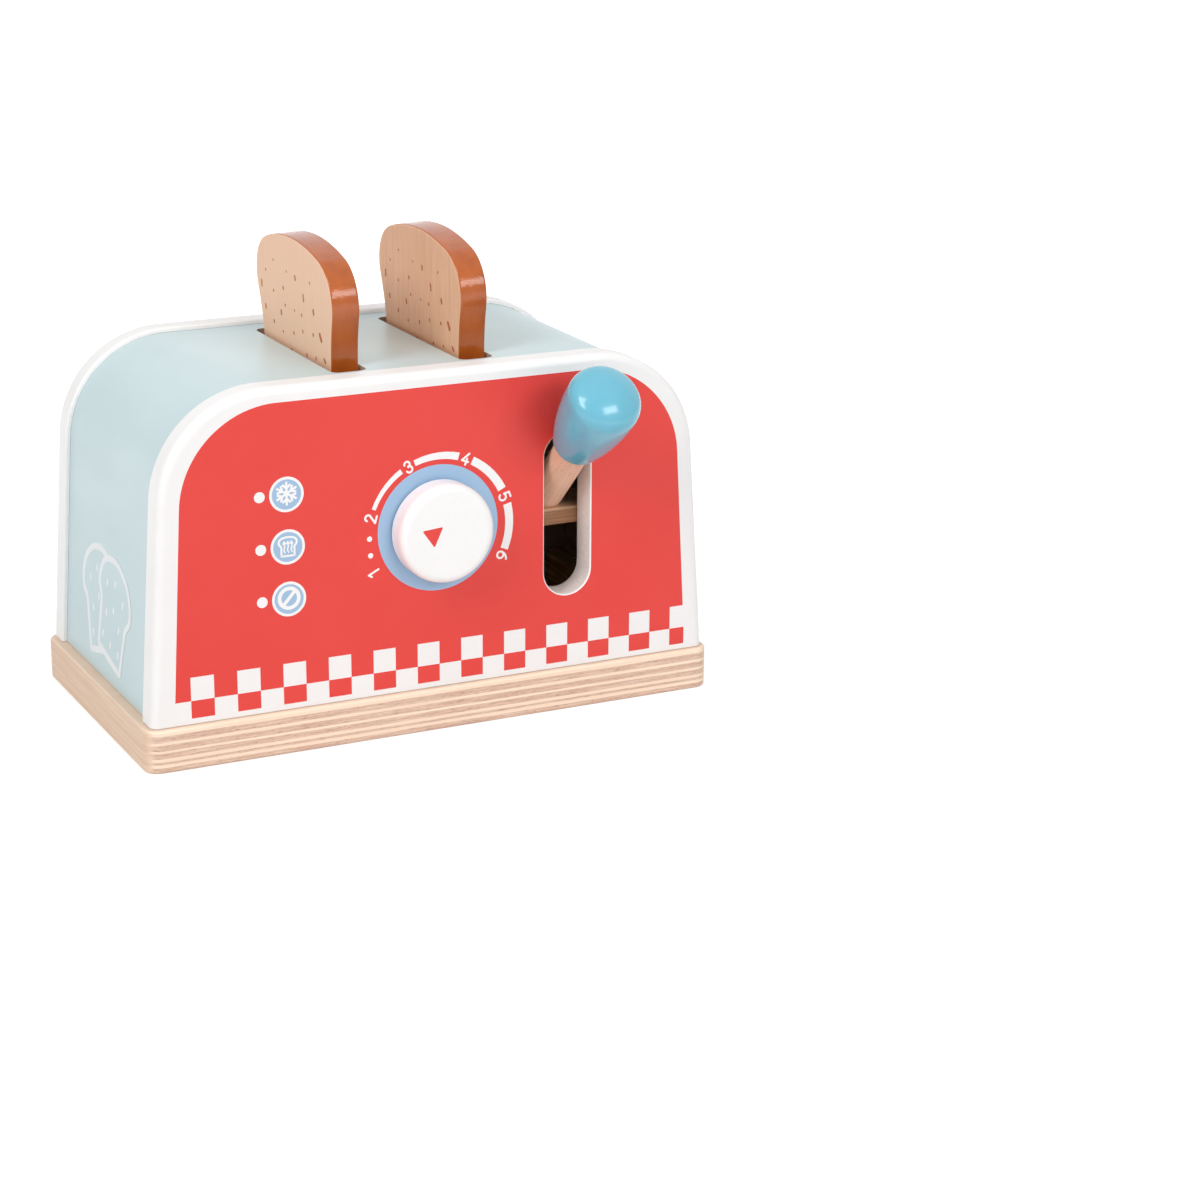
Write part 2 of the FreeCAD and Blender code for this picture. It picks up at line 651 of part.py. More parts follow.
PIECES = [
    "base_board", "front_panel", "back_panel", "body_wrap", "side_batten_left", "side_batten_right", "base_screws",
    "dial_knob", "dial_spindle", "dial_washer", "dial_retainer", "lever_dowel", "lever_grip", "lift_board",
    "toast_rail_left", "toast_rail_right", "guide_rod_front", "guide_rod_back", "guide_block_front",
    "guide_block_back", "lift_spring_front", "lift_spring_back", "toast_slice_left", "toast_slice_right",
]

doc.recompute()
for item in doc.Objects:
    if "Invalid" in item.State or "Error" in item.State:
        raise RuntimeError(f"{item.Name} is {item.State}")

os.makedirs("parts", exist_ok=True)
for label in PIECES:
    piece = doc.getObjectsByLabel(label)[0]
    shape = piece.Shape
    if shape.isNull() or not shape.isValid():
        raise RuntimeError(f"{label} has no valid shape")
    print(f"{label}: {len(shape.Solids)} solid, {shape.Volume / 1000:.2f} cm3")
    shape.exportStep(os.path.join("parts", f"{label}.step"))
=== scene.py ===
from math import atan2, cos, degrees, pi, radians, sin, tan

import bmesh
import bpy
from mathutils import Matrix, Vector


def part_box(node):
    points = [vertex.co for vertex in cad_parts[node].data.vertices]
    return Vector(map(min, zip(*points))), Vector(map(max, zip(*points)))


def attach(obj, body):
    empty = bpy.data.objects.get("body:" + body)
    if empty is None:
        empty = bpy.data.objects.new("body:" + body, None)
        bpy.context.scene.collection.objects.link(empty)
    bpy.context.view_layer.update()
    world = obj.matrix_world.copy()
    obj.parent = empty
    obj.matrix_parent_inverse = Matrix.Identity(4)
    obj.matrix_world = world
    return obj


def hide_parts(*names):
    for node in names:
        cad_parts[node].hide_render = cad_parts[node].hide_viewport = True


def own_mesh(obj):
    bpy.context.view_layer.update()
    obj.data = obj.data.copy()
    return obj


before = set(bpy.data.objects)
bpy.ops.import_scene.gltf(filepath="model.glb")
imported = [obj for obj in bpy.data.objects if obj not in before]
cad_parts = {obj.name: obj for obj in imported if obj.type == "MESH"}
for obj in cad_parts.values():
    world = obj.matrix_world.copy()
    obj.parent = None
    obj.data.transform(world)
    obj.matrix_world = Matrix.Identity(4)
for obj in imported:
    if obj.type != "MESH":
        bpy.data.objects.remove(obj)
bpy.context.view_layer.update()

MM = 0.001


# ---------------------------------------------------------------- base board
# Birch plywood, rounded at the corners, sanded and left bare. On the long edges the plies that end there are
# darker and fibrous, and the ones that run along are smooth and pale. At the ends the plies differ less. The
# top and bottom faces are darkened as painted shade.

class Value:
    """A value in a finish. A sum, difference, product or quotient adds the Math node for it."""

    def __init__(self, finish, socket):
        self.finish = finish
        self.socket = socket

    def math(self, operation, *values):
        return self.finish.node("ShaderNodeMath", {"operation": operation}, dict(enumerate(values)))

    def __add__(self, other):
        return self.math("ADD", self, other)

    def __radd__(self, other):
        return self.math("ADD", other, self)

    def __sub__(self, other):
        return self.math("SUBTRACT", self, other)

    def __rsub__(self, other):
        return self.math("SUBTRACT", other, self)

    def __mul__(self, other):
        return self.math("MULTIPLY", self, other)

    def __rmul__(self, other):
        return self.math("MULTIPLY", other, self)

    def __truediv__(self, other):
        return self.math("DIVIDE", self, other)

    def __abs__(self):
        return self.math("ABSOLUTE", self)

    def at_least(self, other):
        return self.math("MAXIMUM", self, other)

    def below(self, limit):
        return self.math("LESS_THAN", self, limit)


class Finish:
    """A node material. Its patterns are measured in millimetres of the piece's own coordinates."""

    def __init__(self, name, collection=bpy.data.materials):
        self.data = collection.new(name)
        self.data.use_nodes = True
        self.tree = self.data.node_tree
        self.tree.nodes.clear()

    def node(self, kind, settings=None, sockets=None, output=0):
        """Adds a node: its settings first, then the values or links of its sockets. Gives one output."""
        made = self.tree.nodes.new(kind)
        for key, setting in (settings or {}).items():
            if key == "stops":
                while len(made.color_ramp.elements) < len(setting):
                    made.color_ramp.elements.new(0.5)
                for stop, (place, shade) in zip(made.color_ramp.elements, setting):
                    stop.position = place
                    stop.color = (shade, shade, shade, 1)
            else:
                setattr(made, key, setting)
        for key, value in (sockets or {}).items():
            if isinstance(value, Value):
                self.tree.links.new(value.socket, made.inputs[key])
            else:
                made.inputs[key].default_value = value
        return Value(self, made.outputs[output]) if made.outputs else None

    def place(self, centre=(0, 0, 0), turn=(0, 0, 0), stretch=(1, 1, 1)):
        """The place on the piece in millimetres from centre, in axes turned by turn, with the pattern drawn
        out by stretch along each."""
        spot = self.node("ShaderNodeTexCoord", output=3)
        return self.node("ShaderNodeMapping", {"vector_type": "TEXTURE"}, {
            "Vector": spot, "Location": centre, "Rotation": turn, "Scale": [MM * s for s in stretch]})

    def part(self, vector, axis):
        return self.node("ShaderNodeSeparateXYZ", None, {0: vector}, "XYZ".index(axis))

    def noise(self, place, size, detail=2.0, rough=0.5, twist=0.0):
        return self.node("ShaderNodeTexNoise", None, {
            "Vector": place, "Scale": 1 / size, "Detail": detail, "Roughness": rough, "Distortion": twist})

    def spread(self, value, low, high, to_low=0.0, to_high=1.0):
        """Brings low to high of a value to to_low to to_high, and holds it there beyond."""
        return self.node("ShaderNodeMapRange", None, {
            "Value": value, "From Min": low, "From Max": high, "To Min": to_low, "To Max": to_high})

    def mix(self, share, first, second):
        return self.node("ShaderNodeMix", {"data_type": "RGBA"}, {0: share, 6: first, 7: second}, output=2)

    def bump(self, height, strength, depth):
        return self.node("ShaderNodeBump", None, {
            "Height": height, "Strength": strength, "Distance": depth * MM})

    def facing(self, axis):
        """How far the surface faces along one axis of the piece: 1 full on, -1 full away."""
        return self.part(self.node("ShaderNodeTexCoord", output=1), axis)

    def surface(self, **sockets):
        """Ends the finish with its shader. Underscores in the names stand for spaces."""
        shader = self.node("ShaderNodeBsdfPrincipled", None,
                           {key.replace("_", " "): value for key, value in sockets.items()})
        self.node("ShaderNodeOutputMaterial", None, {"Surface": shader})
        return self


def colour(red, green, blue):
    """A colour as a paint card gives it, from 0 to 255, in the renderer's linear numbers."""
    def linear(share):
        return share / 12.92 if share <= 0.04045 else ((share + 0.055) / 1.055) ** 2.4
    return (*(linear(share / 255) for share in (red, green, blue)), 1.0)


def dress(node, finish):
    """Gives a piece its finish in every slot."""
    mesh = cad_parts[node].data
    mesh.materials.clear()
    mesh.materials.append(finish.data)


BASE_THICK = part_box("base_board")[1].z / MM
END_GRAIN_PLIES = [(0.0, 2.5), (3.9, 4.9), (6.3, 8.5), (9.5, 11.8), (13.1, 15.6)]
PLY_BLUR = 0.12

plywood = Finish("birch_plywood")
sway = plywood.noise(plywood.place(stretch=(40, 40, 1)), 1.0, detail=3)
height = plywood.part(plywood.place(), "Z") + (sway - 0.5) * 0.55
stops = []
for low, high in END_GRAIN_PLIES:
    for edge, first, last in ((low, 0, 1), (high, 1, 0)):
        for place, shade in ((edge - PLY_BLUR, first), (edge + PLY_BLUR, last)):
            stops.append((min(1, max(0, place / BASE_THICK)), shade))
end_ply = plywood.node("ShaderNodeValToRGB", {"stops": stops}, {0: height / BASE_THICK})
end_ply = plywood.node("ShaderNodeRGBToBW", None, {0: end_ply})
fade = plywood.spread(plywood.noise(plywood.place(stretch=(22, 22, 0.5)), 1.0), 0.36, 0.56, 0.5, 1.0)
fibres = plywood.noise(plywood.place(stretch=(4.5, 4.5, 0.3)), 0.8, detail=4, rough=0.75)
flecks = plywood.spread(fibres, 0.5, 0.64)
sides = plywood.spread(abs(plywood.facing("Z")), 0.75, 0.95, 1.0, 0.0)
ends = plywood.spread(abs(plywood.facing("X")), 0.5, 0.85)
long_grain = plywood.noise(plywood.place(stretch=(45, 2.2, 0.5)), 1.6, detail=4, rough=0.6, twist=0.6)
pale = plywood.mix(plywood.spread(long_grain, 0.35, 0.7), colour(255, 234, 211), colour(248, 219, 194))
dark = plywood.mix(flecks, colour(222, 187, 166), colour(172, 130, 106))
long_edge = plywood.mix(end_ply * fade * (1 - ends * 0.75), pale, dark)
end_grain = plywood.noise(plywood.place(stretch=(2.2, 45, 1.0)), 1.6, detail=4, rough=0.6, twist=0.6)
end_edge = plywood.mix(plywood.spread(end_grain, 0.35, 0.7), colour(238, 208, 182), colour(220, 186, 160))
edges = plywood.mix(ends * 0.85, long_edge, end_edge)
# Painted shade: the top and bottom faces are the pale plies darkened halfway to brown, to hold back the
# strong light from above.
top = plywood.mix(0.5, pale, colour(206, 176, 154))
plywood.surface(
    Base_Color=plywood.mix(sides, top, edges), Roughness=plywood.spread(fibres, 0.3, 0.7, 0.5, 0.62),
    Specular_IOR_Level=0.35, Normal=plywood.bump(fibres + end_ply * -0.4, 0.35, 0.12))
dress("base_board", plywood)


# ---------------------------------------------------------------- base screws
# Ten zinc plated countersunk wood screws, driven from below through the base: six into the arched boards and
# four into the battens.

zinc = Finish("zinc_plated_steel")
brushed = zinc.noise(zinc.place(), 0.25, detail=4)
zinc.surface(
    Base_Color=zinc.mix(brushed, colour(205, 206, 204), colour(176, 178, 178)), Metallic=1.0,
    Roughness=zinc.spread(brushed, 0.3, 0.7, 0.28, 0.42))
dress("base_screws", zinc)


# ---------------------------------------------------------------- front and back board
# Arched boards of solid wood, rounded over and sprayed satin white. The paint is thin on the sawn walls of
# the lever slot, a dark line of painted shade runs along the foot where the board meets the base, and inside
# the case the wood is bare.

LEVER_X, SLOT_WIDTH, SLOT_FOOT, SLOT_LENGTH = 58.0, 20.9, 49.9, 69.3
SHEET_HALF, SHEET_FOOT, SHEET_TOP, SHEET_ROUND, SHEET_LEAN = 118.7, 18.0, 146.5, 41.6, 3.8

white_board = Finish("white_satin_paint")
mottle = white_board.noise(white_board.place(), 18.0, detail=3)
peel = white_board.noise(white_board.place(), 0.9, detail=2)
white_paint = white_board.mix(mottle, colour(248, 247, 246), colour(243, 241, 240))
spot = white_board.place((LEVER_X * MM, 0, (SLOT_FOOT + SLOT_LENGTH / 2) * MM))
# Below 1 in the lever slot, and above 1 outside its edge.
off_slot = (abs(white_board.part(spot, "X")) * (2 / SLOT_WIDTH)).at_least(
    abs(white_board.part(spot, "Z")) * (2 / SLOT_LENGTH))
walls = white_board.spread(abs(white_board.facing("Y")), 0.3, 0.6, 1.0, 0.0)
sawn = white_board.spread(off_slot, 1.02, 1.03, 1.0, 0.0) * walls
saw_marks = white_board.noise(white_board.place(stretch=(0.5, 4, 0.5)), 0.9, detail=3)
thin_paint = white_board.mix(
    white_board.spread(saw_marks, 0.4, 0.65), colour(250, 239, 234), colour(240, 227, 221))
painted = white_board.mix(sawn, white_paint, thin_paint)
spot = white_board.place()
height = white_board.part(spot, "Z")
# Painted shade: a dark brown line along the foot, where the board meets the base.
foot_shade_line = white_board.spread(height, SHEET_FOOT + 0.1, SHEET_FOOT + 0.35, 0.6, 0.0)
painted = white_board.mix(foot_shade_line, painted, colour(150, 112, 84))
# How far a place lies past and above the middle of the bent sheet's shoulder.
past = abs(white_board.part(spot, "X")) + (height - SHEET_FOOT) * tan(radians(SHEET_LEAN))
past = (past - (SHEET_HALF - SHEET_ROUND)).at_least(0)
above = (height - (SHEET_TOP - SHEET_ROUND)).at_least(0)
under_sheet = (past * past + above * above).below(SHEET_ROUND ** 2)
inward = (white_board.facing("Y") * white_board.part(spot, "Y")).below(-20)
grain = white_board.noise(white_board.place(stretch=(1, 1, 20)), 1.5, detail=3)
bare = white_board.mix(grain, colour(226, 204, 184), colour(206, 182, 160))
white_board.surface(
    Base_Color=white_board.mix(under_sheet * inward, painted, bare),
    Roughness=white_board.spread(mottle, 0.3, 0.7, 0.34, 0.42), Normal=white_board.bump(peel, 0.12, 0.05))
dress("front_panel", white_board)
dress("back_panel", white_board)


# ---------------------------------------------------------------- red print on the front
# Screen-printed satin red. Its foot is cut in steps for the white squares of a checked border, and a second
# row of red squares stands below them. The slot of the lever is left free.

FACE_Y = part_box("front_panel")[0].y / MM
ON_FRONT = Matrix.Translation((0, FACE_Y * MM, 0)) @ Matrix.Rotation(pi / 2, 4, "X") @ Matrix.Scale(MM, 4)
INK, HAIR = 0.04, 0.004
FIELD_FOOT, FIELD_TOP, FIELD_HALF, FIELD_LEAN, FIELD_CORNER = 27.87, 144.0, 112.65, 3.25, 40.5
FIELD_SHIFT, SLOT_MARGIN = 0.45, 0.6
CHECK_WIDTH, CHECK_START, CHECK_COUNT, CHECK_TOP, CHECK_FOOT = 9.64, -105.7, 12, 37.57, 20.6


def bar(drawing, start, end, width, filled=True, steps=16):
    """A straight stroke with round ends, from start to end."""
    start, end = Vector((*start, 0)), Vector((*end, 0))
    run = end - start
    loop = bmesh.ops.create_circle(
        drawing, cap_ends=filled, segments=steps, radius=width / 2,
        matrix=Matrix.Rotation(pi / steps, 4, "Z"))
    for vert in loop["verts"]:
        if vert.co.y > 0:
            vert.co.y += run.length
    turned = Matrix.Translation(start) @ Matrix.Rotation(atan2(-run.x, run.y), 4, "Z")
    bmesh.ops.transform(drawing, matrix=turned, verts=loop["verts"])


def finish_print(name, drawing, plane, body, finish, thick=INK):
    """Gives a flat drawing in millimetres its thickness of ink, lays it on a plane and joins it to a body.
    Each stroke is a hair thicker than the one before, so that no two share a face where they cross."""
    top = bmesh.ops.extrude_face_region(drawing, geom=drawing.faces[:], use_keep_orig=True)["geom"]
    raised = {item for item in top if isinstance(item, bmesh.types.BMVert)}
    for first in drawing.verts[:]:
        if first in raised:
            stroke = [first]
            raised.remove(first)
            for vert in stroke:
                near = [edge.other_vert(vert) for edge in vert.link_edges]
                near = [other for other in near if other in raised]
                raised.difference_update(near)
                stroke.extend(near)
            bmesh.ops.translate(drawing, vec=(0, 0, thick), verts=stroke)
            thick += HAIR
    bmesh.ops.recalc_face_normals(drawing, faces=drawing.faces[:])
    drawing.transform(plane)
    mesh = bpy.data.meshes.new(name)
    drawing.to_mesh(mesh)
    drawing.free()
    piece = bpy.data.objects.new(name, mesh)
    bpy.context.collection.objects.link(piece)
    mesh.materials.append(finish.data)
    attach(piece, body)


def printed(name, light, shade, roughness=0.42):
    """Ink as the screen lays it: nearly even, with a faint cloud in it and a fine grain."""
    ink = Finish(name)
    cloud = ink.noise(ink.place(), 25.0, detail=3)
    grain = ink.noise(ink.place(), 0.6)
    return ink.surface(
        Base_Color=ink.mix(cloud, light, shade),
        Roughness=ink.spread(grain, 0.3, 0.7, roughness, roughness + 0.08), Normal=ink.bump(grain, 0.1, 0.03))


red_ink = printed("red_ink", colour(231, 66, 59), colour(228, 58, 49))
drawing = bmesh.new()
narrower = (FIELD_TOP - FIELD_FOOT) * tan(radians(FIELD_LEAN))
corners = [drawing.verts.new((FIELD_SHIFT + x, z, 0)) for x, z in (
    (-FIELD_HALF, FIELD_FOOT), (FIELD_HALF, FIELD_FOOT),
    (FIELD_HALF - narrower, FIELD_TOP), (-FIELD_HALF + narrower, FIELD_TOP))]
drawing.faces.new(corners)
bmesh.ops.bevel(
    drawing, geom=corners[2:], offset=FIELD_CORNER * tan(radians(90 - FIELD_LEAN) / 2), segments=32,
    profile=0.5, affect="VERTICES", material=-1)
bmesh.ops.delete(drawing, geom=drawing.faces[:], context="FACES_ONLY")
slot_radius = SLOT_WIDTH / 2
bar(drawing, (LEVER_X, SLOT_FOOT + slot_radius), (LEVER_X, SLOT_FOOT + SLOT_LENGTH - slot_radius),
    SLOT_WIDTH + SLOT_MARGIN * 2, filled=False, steps=64)
bmesh.ops.triangle_fill(
    drawing, use_beauty=True, use_dissolve=False, edges=drawing.edges[:], normal=(0, 0, 1))
cuts = [((0, CHECK_TOP, 0), (0, 1, 0))]
for i in range(CHECK_COUNT * 2):
    cuts.append(((CHECK_START + i * CHECK_WIDTH, 0, 0), (1, 0, 0)))
for at, across in cuts:
    everything = drawing.verts[:] + drawing.edges[:] + drawing.faces[:]
    bmesh.ops.bisect_plane(drawing, geom=everything, plane_co=at, plane_no=across)


def in_white_square(face):
    centre = face.calc_center_median()
    column = (centre.x - CHECK_START) / CHECK_WIDTH
    return centre.y < CHECK_TOP and column > 0 and int(column) % 2 == 0


bmesh.ops.delete(drawing, geom=[face for face in drawing.faces if in_white_square(face)], context="FACES")
finish_print("red_print", drawing, ON_FRONT, "case", red_ink)

drawing = bmesh.new()
for i in range(CHECK_COUNT):
    left = CHECK_START + 2 * i * CHECK_WIDTH
    right = min(left + CHECK_WIDTH, FIELD_SHIFT + FIELD_HALF)
    drawing.faces.new([drawing.verts.new((x, z, 0)) for x, z in (
        (left, CHECK_FOOT), (right, CHECK_FOOT), (right, FIELD_FOOT), (left, FIELD_FOOT))])
finish_print("red_squares", drawing, ON_FRONT, "case", red_ink)


# ---------------------------------------------------------------- scale of the dial
# A pale blue disc round the dial, and round that a white scale of figures 1 to 6, with dots and with bands
# that grow thicker. All of it is screen-printed on the front board.

DIAL_Z = (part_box("dial_knob")[0].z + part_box("dial_knob")[1].z) / 2 / MM
DISC_X, DISC_RADIUS = 0.26, 26.2
SCALE_X, SCALE_Z = 1.0, 84.5
FIGURE_STROKE, FIGURE_SIZE = 0.8, 1.07
# A bar has its two ends, and an arc its centre, radius, start and turn in degrees, clockwise from the top.
FIGURES = {
    1: [("bar", (0.3, -2.2), (0.3, 2.2)), ("bar", (0.3, 2.2), (-0.9, 1.4))],
    2: [("arc", (0, 1.05), 1.15, -80, 195), ("bar", (1.04, 0.56), (-1.3, -2.2)),
        ("bar", (-1.3, -2.2), (1.35, -2.2))],
    3: [("arc", (0, 1.1), 1.1, -75, 255), ("arc", (0, -1.0), 1.2, 0, 255)],
    4: [("bar", (0.7, 2.2), (-1.35, -0.9)), ("bar", (-1.35, -0.9), (1.4, -0.9)),
        ("bar", (0.55, 0.2), (0.55, -2.2))],
    5: [("bar", (1.05, 2.2), (-0.85, 2.2)), ("bar", (-0.85, 2.2), (-1.05, 0.35)),
        ("arc", (-0.1, -0.85), 1.35, -45, 280)],
    6: [("arc", (0, -0.9), 1.3, 0, 360), ("arc", (1.75, -0.75), 3.05, -90, 68)],
}
# The angle and the radius of each figure, on the dial's scale.
FIGURE_PLACES = {
    1: (-116.4, 32.15), 2: (-74.4, 31.0), 3: (-25.9, 30.75), 4: (22.2, 30.55), 5: (69.5, 30.6),
    6: (117.4, 30.95)}
# Each band's first and last angle, and its inner and outer radius at the first and at the last.
BANDS = [(-67.5, -31.9, (30.0, 31.7), (29.8, 32.0)), (-20.3, 16.0, (29.6, 32.1), (29.25, 32.4)),
         (27.8, 63.2, (29.1, 32.5), (28.95, 32.6)), (75.8, 111.8, (28.9, 32.5), (28.9, 32.3))]
SCALE_DOTS, DOT_RADIUS = [(-103, 30.9), (-90, 30.45)], 1.1
# The degrees that one straight piece of an arc turns through.
ARC_STEP = 5

white_ink = printed("white_ink", colour(250, 249, 248), colour(246, 244, 243))
blue_ink = printed("pale_blue_ink", colour(162, 195, 225), colour(157, 189, 220))


def sweep(drawing, centre, inner, outer, start, turn):
    """A flat band about centre, from the angle start through turn degrees, clockwise from the top."""
    middle = Vector((*centre, 0))
    spoke = Matrix.Rotation(-radians(start), 3, "Z") @ Vector((0, 1, 0))
    ends = [drawing.verts.new(middle + spoke * radius) for radius in (inner, outer)]
    edge = drawing.edges.new(ends)
    bmesh.ops.spin(
        drawing, geom=[*ends, edge], cent=middle, axis=(0, 0, -1), angle=radians(turn),
        steps=max(6, round(turn / ARC_STEP)), use_merge=turn == 360, use_duplicate=False)
    band, ends = list(ends), set(ends)
    for vert in band:
        near = [edge.other_vert(vert) for edge in vert.link_edges]
        near = [other for other in near if other not in ends]
        ends.update(near)
        band.extend(near)
    return band


def round_spot(drawing, centre, radius, steps):
    bmesh.ops.create_circle(
        drawing, cap_ends=True, segments=steps, radius=radius, matrix=Matrix.Translation((*centre, 0)))


def at_angle(centre, angle, radius):
    """The place at a clockwise angle from the top and a radius about centre."""
    turned = Matrix.Translation((*centre, 0)) @ Matrix.Rotation(-radians(angle), 4, "Z")
    return turned @ Matrix.Translation((0, radius, 0))


drawing = bmesh.new()
round_spot(drawing, (DISC_X, DIAL_Z), DISC_RADIUS, steps=128)
finish_print("scale_disc", drawing, ON_FRONT, "case", blue_ink, thick=INK * 2)

# Each band is swept with the radii 1 and 2, which tell its edges apart, and then moved out to its own.
drawing = bmesh.new()
for start, end, first_edges, last_edges in BANDS:
    band = sweep(drawing, (0, 0), 1, 2, start, end - start)
    for vert in band:
        along = (degrees(atan2(vert.co.x, vert.co.y)) - start) / (end - start)
        edge = round(vert.co.length) - 1
        radius = first_edges[edge] * (1 - along) + last_edges[edge] * along
        vert.co = vert.co.normalized() * radius
bmesh.ops.translate(drawing, vec=(SCALE_X, SCALE_Z, 0), verts=drawing.verts[:])
finish_print("scale_bands", drawing, ON_FRONT, "case", white_ink, thick=INK * 2)

drawing = bmesh.new()
for angle, radius in SCALE_DOTS:
    spot = at_angle((SCALE_X, SCALE_Z), angle, radius).translation
    round_spot(drawing, spot.xy, DOT_RADIUS, steps=32)
finish_print("scale_dots", drawing, ON_FRONT, "case", white_ink, thick=INK * 2)

for figure, strokes in FIGURES.items():
    drawing = bmesh.new()
    for kind, *sizes in strokes:
        if kind == "bar":
            bar(drawing, *sizes, FIGURE_STROKE)
        else:
            centre, radius, start, turn = sizes
            sweep(drawing, centre, radius - FIGURE_STROKE / 2, radius + FIGURE_STROKE / 2, start, turn)
            for angle in (start, start + turn):
                end = at_angle(centre, angle, radius).translation
                round_spot(drawing, end.xy, FIGURE_STROKE / 2, steps=16)
    drawing.transform(at_angle((SCALE_X, SCALE_Z), *FIGURE_PLACES[figure]) @ Matrix.Scale(FIGURE_SIZE, 4))
    finish_print(f"scale_figure_{figure}", drawing, ON_FRONT, "case", white_ink, thick=INK * 2)


# ---------------------------------------------------------------- setting marks
# Three round signs with a lamp dot beside each: frost, toast and off. They are screen-printed on the front
# board, each as a white ring with a pale blue ground and a white drawing.

SIGN_X, SIGN_RADIUS, SIGN_RING, LAMP_X, LAMP_RADIUS = -63.95, 7.15, 1.1, -75.15, 2.22
SIGN_HEIGHTS, SIGN_RAISED = {"frost": 107.0, "toast": 85.65, "off": 64.25}, 0.35
FROST_LINE, TOAST_LINE, HEAT_LINE, OFF_LINE = 0.96, 0.85, 0.6, 1.45


def outline(drawing, corners, band=0):
    """Draws a shape from its corners (x, z, rounding). With a band, only a line of that width inside its edge
    is left of it."""
    shape = drawing.faces.new([drawing.verts.new((x, z, 0)) for x, z, rounding in corners])
    sharp = {}
    for vert, (x, z, rounding) in zip(shape.verts, corners):
        sharp.setdefault(rounding, []).append(vert)
    for rounding, group in sorted(sharp.items()):
        rounded = bmesh.ops.bevel(
            drawing, geom=group, offset=rounding, segments=10, profile=0.5, affect="VERTICES", material=-1)
    if band:
        inner = rounded["verts"][0].link_faces[0]
        bmesh.ops.inset_region(
            drawing, faces=[inner], thickness=band, use_even_offset=True, use_boundary=True)
        bmesh.ops.delete(drawing, geom=[inner], context="FACES")


def both_sides(half):
    """The corners of a whole shape from those of its right half, from the foot up to the top."""
    return half + [(-x, z, rounding) for x, z, rounding in reversed(half) if x > 0]


def frost(drawing):
    for i in range(6):
        turn = Matrix.Rotation(i * pi / 3, 2)
        for start, end in (((0, 0), (0, 4.4)), ((0, 2.1), (1.4, 3.4)), ((0, 2.1), (-1.4, 3.4))):
            bar(drawing, turn @ Vector(start), turn @ Vector(end), FROST_LINE)


def toast(drawing):
    outline(drawing, both_sides([
        (3.15, -4.4, 0.5), (3.15, -0.3, 0.3), (4.2, 0.8, 0.7), (4.2, 3.1, 1.5), (0, 4.65, 2.6)]), TOAST_LINE)
    for x in (-1.5, 0, 1.5):
        for start, end in (((0.25, -2.5), (-0.2, -1.4)), ((-0.2, -1.4), (0.2, -0.2)), ((0.2, -0.2), (0, 1.5)),
                           ((0, 1.9), (-0.45, 1.1)), ((0, 1.9), (0.45, 1.1))):
            bar(drawing, (x + start[0], start[1]), (x + end[0], end[1]), HEAT_LINE, steps=12)


def off(drawing):
    sweep(drawing, (0, 0), 3.25, 4.8, 0, 360)
    bar(drawing, (-2.45, -2.75), (2.45, 2.75), OFF_LINE)


for sign, draw_sign in (("frost", frost), ("toast", toast), ("off", off)):
    centre = (SIGN_X, SIGN_HEIGHTS[sign])
    drawing = bmesh.new()
    round_spot(drawing, centre, SIGN_RADIUS, steps=64)
    finish_print(f"sign_{sign}_ring", drawing, ON_FRONT, "case", white_ink, thick=INK * 2)
    drawing = bmesh.new()
    round_spot(drawing, centre, SIGN_RADIUS - SIGN_RING, steps=64)
    finish_print(f"sign_{sign}_ground", drawing, ON_FRONT, "case", blue_ink, thick=INK * 3)
    drawing = bmesh.new()
    draw_sign(drawing)
    drawing.transform(Matrix.Translation((centre[0], centre[1] + SIGN_RAISED, 0)))
    finish_print(f"sign_{sign}", drawing, ON_FRONT, "case", white_ink, thick=INK * 4)
    drawing = bmesh.new()
    round_spot(drawing, (LAMP_X, centre[1]), LAMP_RADIUS, steps=32)
    finish_print(f"lamp_{sign}", drawing, ON_FRONT, "case", white_ink, thick=INK * 2)


# ---------------------------------------------------------------- bent sheet
# Thin board bent over both shoulders, its edges glued into a groove in each arched board. The outside is
# sprayed satin pale blue, smoother on top. Inside and at the cut edges of the bread slots it stays raw, and a
# thin line of the raw colour along the foot is painted shade where the sheet meets the base.

SHEET_REACH = 112.0

sheet_paint = Finish("pale_blue_satin_paint")
veil = sheet_paint.noise(sheet_paint.place(stretch=(1, 2.5, 1)), 22.0, detail=3)
peel = sheet_paint.noise(sheet_paint.place(), 0.8, detail=2)
blue = sheet_paint.mix(veil, colour(203, 223, 227), colour(196, 217, 220))
fibre = sheet_paint.noise(sheet_paint.place(stretch=(1, 14, 1)), 0.8, detail=3)
raw_sheet = sheet_paint.mix(fibre, colour(214, 190, 170), colour(176, 150, 130))
spot = sheet_paint.place()
upward = sheet_paint.facing("Z")
# The sheet faces out of the case where it faces up, or away from the middle.
outward = (sheet_paint.facing("X") * sheet_paint.part(spot, "X") / SHEET_REACH).at_least(upward)
# Painted shade: the raw colour is left in a thin line along the foot, where the sheet meets the base.
above_foot_shade = sheet_paint.spread(sheet_paint.part(spot, "Z"), SHEET_FOOT + 0.3, SHEET_FOOT + 0.5)
painted = sheet_paint.spread(outward, 0.36, 0.5) * above_foot_shade
sheet_paint.surface(
    Base_Color=sheet_paint.mix(painted, raw_sheet, blue),
    Roughness=sheet_paint.spread(veil, 0.3, 0.7, 0.36, 0.46),
    Coat_Weight=sheet_paint.spread(upward, 0.6, 0.98, 0.0, 0.4), Coat_Roughness=0.3,
    Normal=sheet_paint.bump(peel, 0.15, 0.05))
dress("body_wrap", sheet_paint)


# ---------------------------------------------------------------- drawing on the left side
# Two slices of bread, one behind the other, screen-printed low down on the pale blue in white outline with
# crumb dots.

side_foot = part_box("body_wrap")[0]
leaning, upright = sin(radians(SHEET_LEAN)), cos(radians(SHEET_LEAN))
